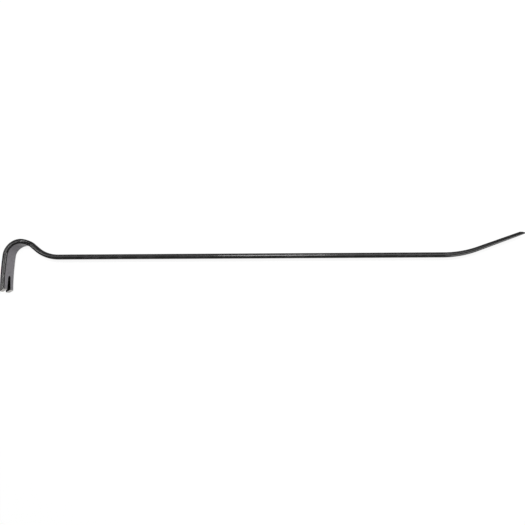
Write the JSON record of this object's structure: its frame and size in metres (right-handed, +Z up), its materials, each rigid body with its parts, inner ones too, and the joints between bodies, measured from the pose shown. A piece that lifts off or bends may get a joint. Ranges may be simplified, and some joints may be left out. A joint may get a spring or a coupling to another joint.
{
  "type": "pry bar",
  "caption": "Long black gooseneck pry bar forged from octagonal steel: a hooked, slotted claw for pulling nails at one end and a raised flat chisel at the other.",
  "frame": {"origin": "under the middle of the whole bar, on the surface that it lies on", "axes": "+X along the shaft towards the chisel, +Y the way the gooseneck and the chisel rise, +Z up from the surface that the bar lies on"},
  "size_m": [1.5, 0.1662, 0.04],
  "materials": {
    "black_lacquer": "thin black lacquer over a forged steel surface, ground bare at the tips"
  },
  "bodies": {
    "root": {"claw": "black_lacquer", "gooseneck": "black_lacquer", "neck_bend": "black_lacquer", "shaft": "black_lacquer", "chisel_bend": "black_lacquer", "chisel_blade": "black_lacquer"}
  },
  "joints": []
}
